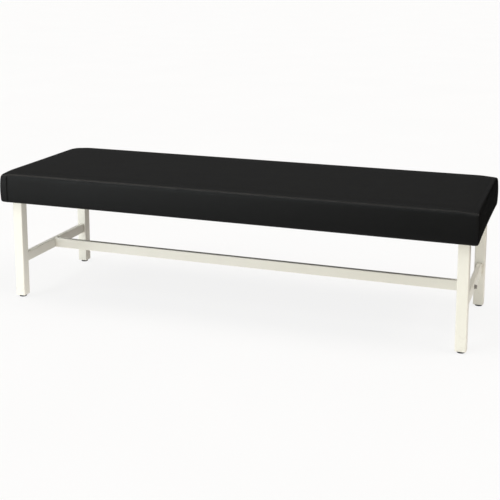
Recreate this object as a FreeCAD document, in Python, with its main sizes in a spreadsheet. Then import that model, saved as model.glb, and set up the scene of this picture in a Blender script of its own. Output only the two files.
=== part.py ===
import FreeCAD, Part
import math
import os
import re
import Sketcher

# Upholstered examination couch: a box cushion bolted to a knock-down steel frame.
# Millimetres. The origin is on the floor under the middle of the couch.
# +X runs along the couch, +Y to its rear, +Z up.

Vector = FreeCAD.Vector

doc = FreeCAD.newDocument("examination_table")
sheet = doc.addObject("Spreadsheet::Sheet", "Sizes")

# Driving dimensions
SIZES = {
    # whole couch
    "couch_length": 1800,
    "couch_width": 600,
    "couch_height": 500,
    "cushion_thick": 117,
    # form of the cushion
    "crown": 3,
    "side_bulge": 2.5,
    "side_draw": 3,
    "end_draw": 1.5,
    "top_round": 14,
    "foot_round": 8,
    "corner_round": 10,
    "cover_thick": 1.2,
    "flange_wide": 45,
    # board, timbers and dust cloth inside and under the cushion
    "cloth_thick": 0.5,
    "cloth_setback": 22,
    "deck_thick": 5.5,
    "timber_wide": 30,
    "timber_high": 40,
    "end_timber_wide": 18,
    "cross_pitch": 420,
    "bearer_wide": 70,
    "bearer_high": 30,
    "screw_size": 4.5,
    "screw_head": 9,
    "screw_long": 80,
    "screw_edge": 10,
    # steel tubes and flat bars
    "leg_side": 38,
    "leg_inset_end": 35,
    "leg_inset_side": 37,
    "rail_wide": 19,
    "rail_high": 38,
    "rail_middle": 152,
    "tube_wall": 1.2,
    "tube_corner": 3,
    "bar_wide": 38,
    "bar_thick": 4.5,
    "bush_wall": 2.5,
    "plate_thick": 6,
    # bolts, nuts and washers
    "bolt_size": 8,
    "bolt_row_inner": 70,
    "bolt_row_outer": 160,
    "bolt_proud": 3.4,
    "head_rim": 2.5,
    "head_high": 5.3,
    "nut_high": 6.5,
    "washer_rim": 4.4,
    "washer_thick": 1.6,
    "spring_rim": 3.2,
    "spring_thick": 2,
    "spring_gap": 1,
    "tee_rim": 7,
    "tee_flange": 1.5,
    "tee_wall": 0.9,
    "tee_long": 11,
    # levelling feet
    "plug_high": 20,
    "foot_across": 28,
    "foot_chamfer": 1,
    "foot_floor": 2,
    "foot_roof": 1.9,
    "foot_travel": 10,
    "stud_head_rim": 4,
    "stud_head_high": 3,
    "stud_spare": 2,
    # clearances
    "hole_slack": 1,
    "thread_slack": 0.2,
    "fit_slack": 0.2,
    "turn_gap": 0.3,
    "foot_gap": 0.5,
}

for row, (name, value) in enumerate(SIZES.items(), start=1):
    sheet.set(f"A{row}", name)
    sheet.set(f"B{row}", str(value))
    sheet.setAlias(f"B{row}", name)
doc.recompute()

# Heights and places that follow from the driving dimensions
COVER_BOTTOM = "(couch_height - cushion_thick)"
CLOTH_BOTTOM = f"({COVER_BOTTOM} - cloth_thick)"
LEG_TOP = f"({CLOTH_BOTTOM} - bar_thick)"
FOOT_HIGH = "(foot_floor + stud_head_high + 2 * turn_gap + foot_roof)"
LEG_BOTTOM = f"({FOOT_HIGH} + foot_gap)"
LEG_X = "(couch_length / 2 - leg_inset_end - leg_side / 2)"
LEG_Y = "(couch_width / 2 - leg_inset_side - leg_side / 2)"
TIMBER_BOTTOM = f"({COVER_BOTTOM} + cover_thick)"
DECK_BOTTOM = f"({TIMBER_BOTTOM} + timber_high)"
SETBACK = "(cover_thick + side_bulge + foot_round + max(side_draw; 0.3 * corner_round))"
FRAME_X = f"(couch_length / 2 - {SETBACK})"
FRAME_Y = f"(couch_width / 2 - {SETBACK})"
CROSS_LENGTH = f"(2 * {FRAME_Y} - 2 * timber_wide)"
WASHER_STACK = "(washer_thick + spring_thick)"
TUBE_INNER_CORNER = "max(tube_corner - tube_wall; fit_slack)"
HEX_FLAT = "(bolt_size / 2 + head_rim)"
HEX_RADIUS = f"({HEX_FLAT} / cos(30))"
BOLT_HOLE = "(bolt_size + hole_slack)"
THREAD_HOLE = "(bolt_size + thread_slack)"
TURNING_HOLE = "(bolt_size + 2 * turn_gap)"
TEE_BARREL = f"({THREAD_HOLE} + 2 * tee_wall)"
STUD_HEAD = "(bolt_size + 2 * stud_head_rim)"

ENDS = (("left", "-"), ("right", ""))
ROWS = (("front", "-"), ("rear", ""))
CORNERS = [(f"{row}_{end}", end_sign, row_sign) for end, end_sign in ENDS for row, row_sign in ROWS]

nodes = []


def formula(text):
    """The text with each size's name pointed at its cell."""
    return re.sub(r"[a-z_]+", lambda word: f"Sizes.{word[0]}" if word[0] in SIZES else word[0], str(text))


def size(name):
    """The value in a size's cell."""
    return float(sheet.get(name))


def bind(thing, **formulas):
    """Bind an object's properties to formulas of the sheet's sizes."""
    for name, text in formulas.items():
        thing.setExpression(name, formula(text))
    return thing


def place(thing, x="0", y="0", z="0", turn=None):
    """Bind an object's place, after an optional turn about its own origin."""
    if turn:
        thing.Placement = FreeCAD.Placement(Vector(), turn)
    for axis, text in zip("xyz", (x, y, z)):
        thing.setExpression(f"Placement.Base.{axis}", formula(text))
    return thing


def node(thing, label):
    """Keep an object as a sub-part under its own label."""
    thing.Label = label
    nodes.append(thing)
    return thing


def add(kind, name, **formulas):
    return bind(doc.addObject(kind, name), **formulas)


def block(name, x, y, z, length, width, height):
    """Box with its middle at x and y and its underside at z."""
    thing = add("Part::Box", name, Length=length, Width=width, Height=height)
    return place(thing, f"{x} - ({length}) / 2", f"{y} - ({width}) / 2", z)


def rod(name, diameter, height, z="0"):
    thing = add("Part::Cylinder", name, Radius=f"({diameter}) / 2", Height=height)
    return place(thing, z=z)


def hexagon(name, height, z="0"):
    thing = add("Part::Prism", name, Circumradius=HEX_RADIUS, Height=height)
    thing.Polygon = 6
    return place(thing, z=z)


def fuse(name, *shapes):
    thing = doc.addObject("Part::MultiFuse", name)
    thing.Shapes = list(shapes)
    return thing


def overlap(name, *shapes):
    thing = doc.addObject("Part::MultiCommon", name)
    thing.Shapes = list(shapes)
    return thing


def cut(name, base, tool):
    thing = doc.addObject("Part::Cut", name)
    thing.Base = base
    thing.Tool = tool
    return thing


def group(name, things):
    thing = doc.addObject("Part::Compound", name)
    thing.Links = list(things)
    return thing


# Sketches of the bodies

def sketch_on(body, role, name):
    """Empty sketch on one of the body's own origin planes."""
    sketch = body.newObject("Sketcher::SketchObject", name)
    plane = next(feature for feature in body.Origin.OriginFeatures if feature.Role == role)
    sketch.AttachmentSupport = [(plane, "")]
    sketch.MapMode = "FlatFace"
    return sketch


def dimension(sketch, name, constraint, text):
    """Add a constraint whose value follows a formula."""
    index = sketch.addConstraint(constraint)
    sketch.renameConstraint(index, name)
    sketch.setExpression(f"Constraints.{name}", formula(text))


def rectangle(sketch, name, across, up):
    """Rectangle about the sketch's origin."""
    first = sketch.GeometryCount
    corners = [Vector(-1, -1), Vector(1, -1), Vector(1, 1), Vector(-1, 1)]
    for index in range(4):
        sketch.addGeometry(Part.LineSegment(corners[index], corners[(index + 1) % 4]), False)
    for index in range(4):
        following = first + (index + 1) % 4
        sketch.addConstraint(Sketcher.Constraint("Coincident", first + index, 2, following, 1))
        direction = "Vertical" if index % 2 else "Horizontal"
        sketch.addConstraint(Sketcher.Constraint(direction, first + index))
    sketch.addConstraint(Sketcher.Constraint("Symmetric", first, 1, first + 1, 2, -1, 1))
    width = Sketcher.Constraint("DistanceX", first, 1, first, 2, 2)
    dimension(sketch, f"{name}_across", width, across)
    height = Sketcher.Constraint("DistanceY", first + 1, 1, first + 1, 2, 2)
    dimension(sketch, f"{name}_up", height, up)


def circle(sketch, name, diameter):
    """Circle about the sketch's origin."""
    index = sketch.addGeometry(Part.Circle(Vector(), Vector(0, 0, 1), 1), False)
    sketch.addConstraint(Sketcher.Constraint("Coincident", index, 3, -1, 1))
    dimension(sketch, name, Sketcher.Constraint("Diameter", index, 2), diameter)


def pad(body, sketch, length, sides="One side"):
    feature = body.newObject("PartDesign::Pad", f"{body.Name}_pad")
    feature.Profile = sketch
    feature.SideType = sides
    bind(feature, Length=length)
    doc.recompute()
    return feature


def through_hole(body, role, diameter):
    """Round hole right through the body along the normal of an origin plane."""
    sketch = sketch_on(body, role, f"{body.Name}_hole")
    circle(sketch, "hole_across", diameter)
    pocket = body.newObject("PartDesign::Pocket", f"{body.Name}_pocket")
    pocket.Profile = sketch
    pocket.Type = "ThroughAll"
    pocket.SideType = "Symmetric"
    doc.recompute()


def round_corners(body, edges, radius):
    """Fillet some straight edges of the body's last feature."""
    last = body.Tip
    feature = body.newObject("PartDesign::Fillet", f"{body.Name}_round")
    feature.Base = (last, edges)
    bind(feature, Radius=radius)
    doc.recompute()


def long_edges(body, along):
    """Names of the edges along a direction, from the nearest the body's axis to the furthest."""
    found = []
    for index, edge in enumerate(body.Shape.Edges, start=1):
        if abs(abs(edge.tangentAt(edge.FirstParameter).dot(along)) - 1) < 1e-6:
            offset = edge.CenterOfMass - along * edge.CenterOfMass.dot(along)
            found.append((offset.Length, f"Edge{index}"))
    return [name for _, name in sorted(found)]


def tube(label, role, along, across, up, length):
    """Rectangular steel tube about its own origin, with rounded corners inside and out."""
    body = doc.addObject("PartDesign::Body", label)
    section = sketch_on(body, role, f"{label}_section")
    rectangle(section, "outer", across, up)
    rectangle(section, "inner", f"{across} - 2 * tube_wall", f"{up} - 2 * tube_wall")
    pad(body, section, length, "Symmetric")
    round_corners(body, long_edges(body, along)[:4], TUBE_INNER_CORNER)
    round_corners(body, long_edges(body, along)[-4:], "tube_corner")
    return body


# Form of the cushion: a loft through its plan at rising heights

def arc(start, middle, end):
    return Part.Arc(start, middle, end).toShape()


def plan_outline(half_length, half_width, height, radius):
    """Plan of the cushion: sides and ends drawn in between rounded corners."""
    corner = radius * math.sqrt(0.5)
    side_x = half_length - radius
    end_y = half_width - radius
    edges = []
    for way in (-1, 1):
        start = Vector(way * side_x, way * half_width, height)
        middle = Vector(0, way * (half_width - size("side_draw")), height)
        turn = Vector(-way * side_x, way * half_width, height)
        edges.append(arc(start, middle, turn))
        middle = Vector(-way * (side_x + corner), way * (end_y + corner), height)
        start = Vector(-way * half_length, way * end_y, height)
        edges.append(arc(turn, middle, start))
        middle = Vector(-way * (half_length - size("end_draw")), 0, height)
        turn = Vector(-way * half_length, -way * end_y, height)
        edges.append(arc(start, middle, turn))
        middle = Vector(-way * (side_x + corner), -way * (end_y + corner), height)
        edges.append(arc(turn, middle, Vector(-way * side_x, -way * half_width, height)))
    return Part.Wire(edges)


def cushion_profile(inset):
    """Steps from the foot to the middle of the top: distance in from the side, and height."""
    bulge = size("side_bulge")
    foot = size("couch_height") - size("cushion_thick") + inset
    edge = size("couch_height") - size("crown") - inset
    heel = max(size("foot_round") - inset, size("fit_slack"))
    shoulder = max(size("top_round") - inset, size("fit_slack"))
    steps = []
    for angle in (0, 45, 90):
        turn = math.radians(angle)
        steps.append((inset + bulge + heel * (1 - math.sin(turn)), foot + heel * (1 - math.cos(turn))))
    for share in (0.25, 0.5, 0.75):
        height = foot + heel + share * (edge - shoulder - foot - heel)
        steps.append((inset + bulge * (2 * share - 1) ** 2, height))
    for angle in (0, 22.5, 45, 67.5, 90):
        turn = math.radians(angle)
        steps.append((inset + bulge + shoulder * (1 - math.cos(turn)), edge - shoulder + shoulder * math.sin(turn)))
    rim = inset + bulge + shoulder
    reach = size("couch_width") / 2 - rim
    last = 0.95
    for share in (0.2, 0.45, 0.7, last):
        rise = (1 - (1 - share) ** 2) / (1 - (1 - last) ** 2)
        steps.append((rim + share * reach, edge + size("crown") * rise))
    return steps


def cushion_form(inset):
    """The cushion's outer form with every face moved in by inset."""
    outlines = []
    for inward, height in cushion_profile(inset):
        half_length = size("couch_length") / 2 - inward
        half_width = size("couch_width") / 2 - inward
        radius = min(size("corner_round"), half_width / 2)
        outlines.append(plan_outline(half_length, half_width, height, radius))
    return Part.makeLoft(outlines, True, True)


def form_feature(name, shape):
    thing = doc.addObject("Part::Feature", name)
    thing.Shape = shape
    return node(thing, name)


# Cushion: board, cover and foam

def make_deck():
    length = f"2 * {FRAME_X}"
    width = f"2 * {FRAME_Y}"
    deck = node(block("deck", "0", "0", DECK_BOTTOM, length, width, "deck_thick"), "deck_board")
    doc.recompute()
    return deck.Shape.BoundBox


def make_cover_and_foam(deck):
    """Cover with a flange turned in under the frame, filled by foam that is hollow for the frame and board."""
    thick = size("cover_thick")
    bottom = size("couch_height") - size("cushion_thick")
    inner = cushion_form(thick)
    opening_length = size("couch_length") - 2 * size("flange_wide")
    opening_width = size("couch_width") - 2 * size("flange_wide")
    corner = Vector(-opening_length / 2, -opening_width / 2, bottom - thick)
    opening = Part.makeBox(opening_length, opening_width, 3 * thick, corner)
    form_feature("vinyl_cover", cushion_form(0).cut(inner).cut(opening).Solids[0])

    corner = Vector(deck.XMin, deck.YMin, bottom)
    frame_space = Part.makeBox(deck.XLength, deck.YLength, deck.ZMax - bottom, corner)
    form_feature("foam_pad", inner.cut(frame_space).Solids[0])


# Timber frame and its screws

def cross_pieces():
    """Label, middle, section and screw heights of each timber between the front and rear side timbers."""
    end_middle = f"({FRAME_X} - end_timber_wide / 2)"
    bearer_middle = f"({FRAME_X} - end_timber_wide - bearer_wide / 2)"
    pair = ("screw_edge", "timber_high - screw_edge")
    single = ("bearer_high / 2",)
    pieces = [("cross_timber_middle", "0", "timber_wide", "timber_high", pair)]
    for end, sign in ENDS:
        pieces.append((f"end_timber_{end}", f"{sign}{end_middle}", "end_timber_wide", "timber_high", pair))
        pieces.append((f"cross_timber_{end}", f"{sign}cross_pitch", "timber_wide", "timber_high", pair))
        pieces.append((f"bearer_{end}", f"{sign}{bearer_middle}", "bearer_wide", "bearer_high", single))
    return pieces


def timber_screw(name, x, row_sign, z):
    """Countersunk screw from a side timber's outer face into the end of a cross piece."""
    shank = rod(f"{name}_shank", "screw_size", "screw_long")
    taper = "(screw_head - screw_size) / 2"
    head = add("Part::Cone", f"{name}_head", Radius1="screw_head / 2", Radius2="screw_size / 2", Height=taper)
    screw = fuse(name, shank, head)
    inward = FreeCAD.Rotation(Vector(1, 0, 0), 90 if row_sign == "" else -90)
    return place(screw, x, f"{row_sign}{FRAME_Y}", z, inward)


def make_timber_screws(pieces):
    screws = []
    for label, x, _, _, levels in pieces:
        for row, row_sign in ROWS:
            for index, level in enumerate(levels):
                name = f"{label}_{row}_screw_{index}"
                screws.append(timber_screw(name, x, row_sign, f"{TIMBER_BOTTOM} + {level}"))
    return node(group("screws", screws), "timber_screws")


def make_timbers():
    pieces = cross_pieces()
    screws = make_timber_screws(pieces)
    for row, sign in ROWS:
        y = f"{sign}({FRAME_Y} - timber_wide / 2)"
        length = f"2 * {FRAME_X}"
        timber = block(f"side_{row}", "0", y, TIMBER_BOTTOM, length, "timber_wide", "timber_high")
        node(cut(f"side_{row}_drilled", timber, screws), f"side_timber_{row}")
    for label, x, width, height, _ in pieces:
        timber = block(f"{label}_blank", x, "0", TIMBER_BOTTOM, width, CROSS_LENGTH, height)
        drilled = cut(f"{label}_drilled", timber, screws)
        if label.startswith("bearer"):
            tool = holes(f"{label}_holes", f"{TEE_BARREL} + fit_slack", TIMBER_BOTTOM, "bearer_high")
            drilled = cut(f"{label}_bored", drilled, tool)
        node(drilled, label)


# Bolts that hold the cushion on the flat bars

def bolt_places():
    """Name, x and y of each bolt through the flat bars."""
    places = []
    for end, end_sign in ENDS:
        for row, row_sign in ROWS:
            for line in ("inner", "outer"):
                name = f"{end}_{row}_{line}"
                places.append((name, f"{end_sign}{LEG_X}", f"{row_sign}bolt_row_{line}"))
    return places


def holes(name, diameter, z, height):
    """Drilling tool: one rod on each bolt's axis."""
    rods = []
    for where, x, y in bolt_places():
        rods.append(place(rod(f"{name}_{where}", diameter, height), x, y, z))
    return group(name, rods)


def bolt(name, shank_length):
    """Hexagon bolt along +Z with the underside of its head at its origin."""
    shank = rod(f"{name}_shank", "bolt_size", shank_length)
    block_head = hexagon(f"{name}_hexagon", "head_high", "-head_high")
    wide = f"{HEX_FLAT} + head_high / tan(30)"
    taper = add("Part::Cone", f"{name}_taper", Radius1=HEX_FLAT, Radius2=wide, Height="head_high")
    place(taper, z="-head_high")
    return fuse(name, shank, overlap(f"{name}_head", block_head, taper))


def washer(name, rim, thick):
    """Ring along +Z from its origin."""
    disc = rod(f"{name}_disc", f"{THREAD_HOLE} + 2 * {rim}", thick)
    return cut(name, disc, rod(f"{name}_bore", THREAD_HOLE, thick))


def spring_washer(name):
    """Ring split on one side, along +Z from its origin."""
    ring = washer(f"{name}_ring", "spring_rim", "spring_thick")
    reach = f"{THREAD_HOLE} / 2 + 2 * spring_rim"
    slit = block(f"{name}_slit", f"({reach}) / 2", "0", "0", reach, "spring_gap", "spring_thick")
    return cut(name, ring, slit)


def tee_nut(name):
    """Flanged nut with its flange's underside at its origin and its barrel below."""
    flange = rod(f"{name}_flange", "bolt_size + 2 * tee_rim", "tee_flange")
    barrel = rod(f"{name}_barrel", TEE_BARREL, "tee_long", "-tee_long")
    bore = rod(f"{name}_bore", THREAD_HOLE, "tee_long + tee_flange", "-tee_long")
    return cut(name, fuse(f"{name}_body", flange, barrel), bore)


def make_cushion_bolts():
    bearer_top = f"({TIMBER_BOTTOM} + bearer_high)"
    washer_bottom = f"({LEG_TOP} - washer_thick)"
    spring_bottom = f"({LEG_TOP} - {WASHER_STACK})"
    shank_length = f"{bearer_top} - {spring_bottom}"
    bolts = []
    springs = []
    washers = []
    tee_nuts = []
    for where, x, y in bolt_places():
        bolts.append(place(bolt(f"bolt_{where}", shank_length), x, y, spring_bottom))
        springs.append(place(spring_washer(f"spring_{where}"), x, y, spring_bottom))
        washers.append(place(washer(f"washer_{where}", "washer_rim", "washer_thick"), x, y, washer_bottom))
        tee_nuts.append(place(tee_nut(f"tee_{where}"), x, y, bearer_top))
    node(group("bolts", bolts), "cushion_bolts")
    node(group("springs", springs), "cushion_spring_washers")
    node(group("washers", washers), "cushion_washers")
    node(group("tees", tee_nuts), "tee_nuts")


def make_dust_cloth():
    length = "couch_length - 2 * cloth_setback"
    width = "couch_width - 2 * cloth_setback"
    cloth = block("cloth", "0", "0", CLOTH_BOTTOM, length, width, "cloth_thick")
    tool = holes("cloth_holes", BOLT_HOLE, CLOTH_BOTTOM, "cloth_thick")
    node(cut("cloth_punched", cloth, tool), "dust_cloth")


# Steel frame

def make_legs():
    middle = f"({LEG_TOP} + {LEG_BOTTOM}) / 2"
    length = f"{LEG_TOP} - {LEG_BOTTOM}"
    for corner, end_sign, row_sign in CORNERS:
        leg = tube(f"leg_{corner}", "XY_Plane", Vector(0, 0, 1), "leg_side", "leg_side", length)
        node(place(leg, f"{end_sign}{LEG_X}", f"{row_sign}{LEG_Y}", middle), f"leg_{corner}")


def make_rails():
    length = f"2 * {LEG_Y} - leg_side"
    for end, sign in ENDS:
        label = f"end_rail_{end}"
        rail = tube(label, "XZ_Plane", Vector(0, 1, 0), "rail_wide", "rail_high", length)
        through_hole(rail, "YZ_Plane", BOLT_HOLE)
        node(place(rail, f"{sign}{LEG_X}", "0", "rail_middle"), label)
    length = f"2 * {LEG_X} - rail_wide"
    stretcher = tube("stretcher", "YZ_Plane", Vector(1, 0, 0), "rail_wide", "rail_high", length)
    node(place(stretcher, z="rail_middle"), "stretcher")


def make_top_bars():
    length = f"2 * {LEG_Y} + leg_side"
    for end, sign in ENDS:
        bar = block(f"bar_{end}", f"{sign}{LEG_X}", "0", LEG_TOP, "bar_wide", length, "bar_thick")
        drill = holes(f"bar_{end}_holes", BOLT_HOLE, LEG_TOP, "bar_thick")
        node(cut(f"bar_{end}_drilled", bar, drill), f"top_bar_{end}")


# Bolted joint of the stretcher and an end rail

def make_nut_plate(end, x):
    """Tapped plate welded inside an end of the stretcher."""
    plate = doc.addObject("PartDesign::Body", f"plate_{end}")
    outline = sketch_on(plate, "YZ_Plane", f"plate_{end}_outline")
    inside = "- 2 * tube_wall - fit_slack"
    rectangle(outline, "outer", f"rail_wide {inside}", f"rail_high {inside}")
    circle(outline, "thread", THREAD_HOLE)
    pad(plate, outline, "plate_thick", "Symmetric")
    round_corners(plate, long_edges(plate, Vector(1, 0, 0))[-4:], TUBE_INNER_CORNER)
    node(place(plate, x, "0", "rail_middle"), f"nut_plate_{end}")


def make_stretcher_joints():
    shank_length = f"{WASHER_STACK} + rail_wide + plate_thick + bolt_proud"
    bush_length = "rail_wide - 2 * tube_wall"
    outer_face = f"({LEG_X} + rail_wide / 2)"
    inner_face = f"({LEG_X} - rail_wide / 2)"
    bolts = []
    springs = []
    washers = []
    for end, sign in ENDS:
        inward = FreeCAD.Rotation(Vector(0, 1, 0), -90 if sign == "" else 90)

        def seat(thing, distance):
            """Put a piece on the bolt's axis, pointing inward from a distance from the couch's middle."""
            return place(thing, f"{sign}({distance})", "0", "rail_middle", inward)

        head_seat = f"{outer_face} + {WASHER_STACK}"
        bolts.append(seat(bolt(f"stretcher_bolt_{end}", shank_length), head_seat))
        springs.append(seat(spring_washer(f"stretcher_spring_{end}"), head_seat))
        flat = washer(f"stretcher_washer_{end}", "washer_rim", "washer_thick")
        washers.append(seat(flat, f"{outer_face} + washer_thick"))
        tube_around = rod(f"bush_{end}_rod", f"{BOLT_HOLE} + 2 * bush_wall", bush_length)
        bush = cut(f"bush_{end}", tube_around, rod(f"bush_{end}_bore", BOLT_HOLE, bush_length))
        node(seat(bush, f"{outer_face} - tube_wall"), f"rail_bush_{end}")
        make_nut_plate(end, f"{sign}({inner_face} - plate_thick / 2)")
    node(group("joint_bolts", bolts), "stretcher_bolts")
    node(group("joint_springs", springs), "stretcher_spring_washers")
    node(group("joint_washers", washers), "stretcher_washers")


# Levelling feet

def make_plug(corner, x, y):
    """Square plug in the lower end of a leg, and the nut that sits in its top."""
    plug = doc.addObject("PartDesign::Body", f"plug_{corner}")
    outline = sketch_on(plug, "XY_Plane", f"plug_{corner}_outline")
    side = "leg_side - 2 * tube_wall - fit_slack"
    rectangle(outline, "outer", side, side)
    circle(outline, "bore", TURNING_HOLE)
    pad(plug, outline, "plug_high")
    round_corners(plug, long_edges(plug, Vector(0, 0, 1))[-4:], TUBE_INNER_CORNER)
    place(plug, x, y, LEG_BOTTOM)
    nut_bottom = f"{LEG_BOTTOM} + plug_high - nut_high"
    pocket = place(hexagon(f"plug_{corner}_pocket", "nut_high"), x, y, nut_bottom)
    node(cut(f"plug_{corner}_cut", plug, pocket), f"foot_plug_{corner}")
    bore = rod(f"foot_nut_{corner}_bore", TURNING_HOLE, "nut_high")
    nut = cut(f"foot_nut_{corner}", hexagon(f"foot_nut_{corner}_hex", "nut_high"), bore)
    return place(nut, x, y, nut_bottom)


def make_stud(corner, x, y):
    """Threaded stud with a round head that turns in the foot."""
    head_bottom = "(foot_floor + turn_gap)"
    top = f"({LEG_BOTTOM} + plug_high + foot_travel + stud_spare)"
    shank = rod(f"stud_{corner}_shank", "bolt_size", f"{top} - {head_bottom}")
    head = rod(f"stud_{corner}_head", STUD_HEAD, "stud_head_high")
    stud = fuse(f"stud_{corner}", shank, head)
    node(place(stud, x, y, head_bottom), f"foot_stud_{corner}")


def make_foot(corner, x, y):
    """Round foot moulded over the stud's head."""
    disc = doc.addObject("PartDesign::Body", f"disc_{corner}")
    outline = sketch_on(disc, "XY_Plane", f"disc_{corner}_outline")
    circle(outline, "outer", "foot_across")
    solid = pad(disc, outline, FOOT_HIGH)
    rims = [f"Edge{index}" for index, edge in enumerate(disc.Shape.Edges, start=1) if edge.Closed]
    bevel = disc.newObject("PartDesign::Chamfer", f"disc_{corner}_bevel")
    bevel.Base = (solid, rims)
    bind(bevel, Size="foot_chamfer")
    place(disc, x, y)
    pocket = rod(f"disc_{corner}_pocket", f"{STUD_HEAD} + 2 * turn_gap", "stud_head_high + 2 * turn_gap")
    neck = rod(f"disc_{corner}_neck", TURNING_HOLE, f"{FOOT_HIGH} - foot_floor")
    room = place(fuse(f"disc_{corner}_room", pocket, neck), x, y, "foot_floor")
    node(cut(f"disc_{corner}_hollow", disc, room), f"foot_{corner}")


def make_feet():
    nuts = []
    for corner, end_sign, row_sign in CORNERS:
        x = f"{end_sign}{LEG_X}"
        y = f"{row_sign}{LEG_Y}"
        nuts.append(make_plug(corner, x, y))
        make_stud(corner, x, y)
        make_foot(corner, x, y)
    node(group("plug_nuts", nuts), "foot_nuts")


make_cover_and_foam(make_deck())
make_timbers()
make_cushion_bolts()
make_dust_cloth()
make_legs()
make_rails()
make_top_bars()
make_stretcher_joints()
make_feet()
doc.recompute()

for thing in doc.Objects:
    if "Invalid" in thing.State or "Error" in thing.State:
        raise RuntimeError(f"{thing.Label} failed: {thing.State}")
for thing in nodes:
    if thing.Shape.isNull() or not thing.Shape.isValid():
        raise RuntimeError(f"{thing.Label} has no valid shape")

os.makedirs("parts", exist_ok=True)
for thing in nodes:
    thing.Shape.exportStep(f"parts/{thing.Label}.step")
print(len(nodes), "sub-parts")
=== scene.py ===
import math
from contextlib import contextmanager

import bmesh
import bpy
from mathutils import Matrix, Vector


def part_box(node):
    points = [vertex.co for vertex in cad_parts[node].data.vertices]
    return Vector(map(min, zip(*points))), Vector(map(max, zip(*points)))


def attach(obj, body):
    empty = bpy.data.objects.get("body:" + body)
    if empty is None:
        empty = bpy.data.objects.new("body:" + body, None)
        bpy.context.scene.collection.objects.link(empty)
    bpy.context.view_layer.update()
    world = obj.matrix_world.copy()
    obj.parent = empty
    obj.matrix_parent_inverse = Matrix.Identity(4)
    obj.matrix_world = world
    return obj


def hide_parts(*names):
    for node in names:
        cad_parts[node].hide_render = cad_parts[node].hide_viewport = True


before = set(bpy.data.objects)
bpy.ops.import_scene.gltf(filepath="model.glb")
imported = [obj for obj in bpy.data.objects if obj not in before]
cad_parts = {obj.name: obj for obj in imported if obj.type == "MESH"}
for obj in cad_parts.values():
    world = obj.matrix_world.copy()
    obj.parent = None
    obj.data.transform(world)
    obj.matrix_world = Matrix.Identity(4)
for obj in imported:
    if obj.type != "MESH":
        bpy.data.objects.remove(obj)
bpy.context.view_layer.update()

# Sizes, in metres unless the name says otherwise
MM = 0.001
QUARTER_TURN = math.pi / 2
FULL_TURN = 2 * math.pi
MERGE_WITHIN = 0.02 * MM
SAME_PLACE = 0.1 * MM
SMOOTH_DEGREES = 35

# Cushion
CAGE_CELL = 26 * MM
CORNER_HOLD = 4.5 * MM
CORNER_TUCK = 1 * MM
TOP_ROUND = 12 * MM
END_ROUND = 5 * MM
FOOT_ROUND = 8 * MM
EDGE_HOLD = 7 * MM
TOP_STEPS = 2
FOOT_STEPS = 2
SIDE_STEPS = 4
SIDE_DRAW = 3 * MM
END_DRAW = 1.5 * MM
CROWN_ROOM = 3 * MM
SIDE_BULGE = 2.5 * MM
SIDE_ROOM = 4.5 * MM
CORNER_SHARE = 0.999
HELD_BAND = 3 * MM
SWELL_LIMIT = 3 * MM
SWELL_KNEE = 22 * MM
CUSHION_LEVELS = 2
CORNER_DROOP = 6 * MM
DROOP_REACH = 75 * MM

# Top rims of the cover that are rubbed smooth, measured down from the top and in from the sides
RUB_STARTS_BELOW = 30 * MM
RUB_FULL_BELOW = 6 * MM
RUB_STARTS_INSIDE = 32 * MM
RUB_FULL_INSIDE = 12 * MM

# Cover and dust cloth while they are simulated
CLOTH_FRAMES = 20
COVER_GRAVITY = 0
COVER_CLOTH = {
    "quality": 4,
    "mass": 0.4,
    "tension_stiffness": 30,
    "compression_stiffness": 30,
    "shear_stiffness": 10,
    "bending_stiffness": 4,
    "use_pressure": True,
    "uniform_pressure_force": 4,
}
DUST_GRAVITY = 0.3
DUST_CLOTH = {"mass": 0.05, "tension_stiffness": 60}

# Corner seams of the cover
SEAM_FROM_CORNER = 35 * MM
SEAM_DEPTH = 3 * MM
SEAM_HALF_WIDTH = 2 * MM
SEAM_SHOULDER = 5 * MM
SEAM_FADE_FROM = 16 * MM
SEAM_FADE_TO = 4 * MM
SEAM_CUT_WITHIN = 0.05 * MM
SEAM_FACING = 0.3
STITCH_FROM_SEAM = 3.5 * MM
STITCH_LENGTH = 3 * MM
STITCH_PITCH = 4.2 * MM
STITCH_SIDES = 6
STITCH_FOOT_MARGIN = 8 * MM
STITCH_RADIUS = 0.4 * MM
STITCH_END = 0.7 * STITCH_RADIUS

# Gathers where the cover is drawn under the corners
GATHER_DEPTH = 0.9 * MM
GATHER_PITCH = 21 * MM
GATHER_HIGH = 48 * MM
GATHER_LONG = 95 * MM
GATHER_FULL = GATHER_LONG / 4
GATHER_NEAR_FACE = 6 * MM
GATHER_OFF_FACE = 14 * MM

# Dust cloth and its staples
CLOTH_CELL = 14 * MM
CLOTH_THICK = 0.4 * MM
CLOTH_SAG_LIMIT = 4 * MM
STAPLE_EDGE = 7 * MM
STAPLE_PITCH = 58 * MM
STAPLE_LONG = 10 * MM
STAPLE_WIDE = 1.1 * MM
STAPLE_HIGH = 0.7 * MM
STAPLE_BEND = 0.7 * STAPLE_HIGH
STAPLE_HOLD = 0.7 * CLOTH_CELL

# Steel frame, its welds and the height up to which shoes soil its paint
WELD_RADIUS = 2.1 * MM
WELD_WAIST = 0.82
WELD_PITCH = 1.7 * MM
WELD_SIDES = 8
WELD_CORNER_STEPS = 4
WELD_MERGE = 0.05 * MM
WELD_SMOOTH_DEGREES = 50
RAIL_CORNER = 3 * MM
KICKED_HEIGHT = 110 * MM

# Levelling feet
FOOT_SIDES = 48
FOOT_CHAMFER = 1.2 * MM
FOOT_SHOULDER = 5 * MM
FOOT_DOME = 0.5 * MM
FOOT_TOP_SHARE = 0.78
FOOT_GRIP_RIM = 0.3 * MM
FOOT_GRIP_DEPTH = 0.7 * MM
FOOT_GRIP_GROUP = 4
STUD_RADIUS = 4 * MM
STUD_TURNS_IN_FOOT = 2
THREAD_PITCH = 1.25 * MM
THREAD_DEPTH = 0.62 * MM
THREAD_STEPS = 24

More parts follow.
